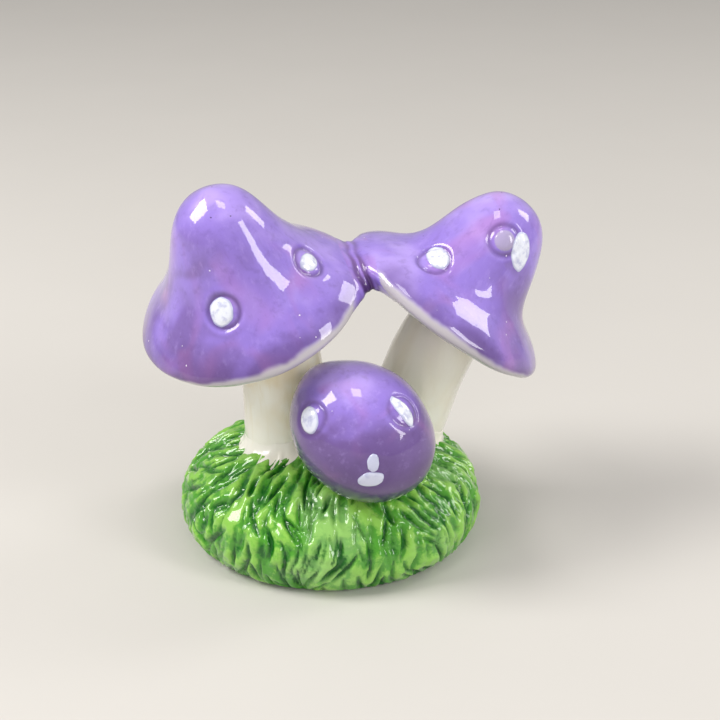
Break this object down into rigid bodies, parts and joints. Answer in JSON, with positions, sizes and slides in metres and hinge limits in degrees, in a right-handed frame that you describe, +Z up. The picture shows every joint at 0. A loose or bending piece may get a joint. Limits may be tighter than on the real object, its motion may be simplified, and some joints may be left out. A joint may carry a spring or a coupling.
{
  "type": "mushroom ornament",
  "caption": "Glazed ceramic ornament of mushrooms with dotted purple caps that lean together on a sculpted grass mound; it stands on its flat base as a shelf or garden decoration.",
  "frame": {"origin": "centre of the base's flat underside, on the surface that it stands on", "axes": "+Z up, +X to the right and -Y towards the viewer when the small front mushroom faces the viewer"},
  "size_m": [0.1201, 0.0899, 0.1166],
  "materials": {
    "purple_glaze": "gloss brushed glaze, violet to lilac",
    "white_enamel": "gloss raised dabs",
    "ivory_glaze": "gloss clear glaze over ivory clay",
    "white_glaze": "gloss clear glaze over white slip",
    "green_glaze": "gloss glaze, dark green pooled between pale green blades",
    "bisque": "matt unglazed clay"
  },
  "bodies": {
    "root": {"grass_mound": "green_glaze", "base_floor": "bisque", "left_stem": "ivory_glaze", "right_stem": "ivory_glaze", "front_stem": "ivory_glaze", "left_cap": "purple_glaze", "right_cap": "purple_glaze", "front_cap": "purple_glaze", "left_cap_underside": "white_glaze", "right_cap_underside": "white_glaze", "front_cap_underside": "white_glaze", "cap_bridge": "purple_glaze", "left_foot_slip": "ivory_glaze", "right_foot_slip": "ivory_glaze", "front_foot_slip": "ivory_glaze", "left_neck_slip": "ivory_glaze", "right_neck_slip": "ivory_glaze", "front_neck_slip": "ivory_glaze", "left_cap_dots": "white_enamel", "right_cap_dots": "white_enamel", "front_cap_dots": "white_enamel"}
  },
  "joints": []
}
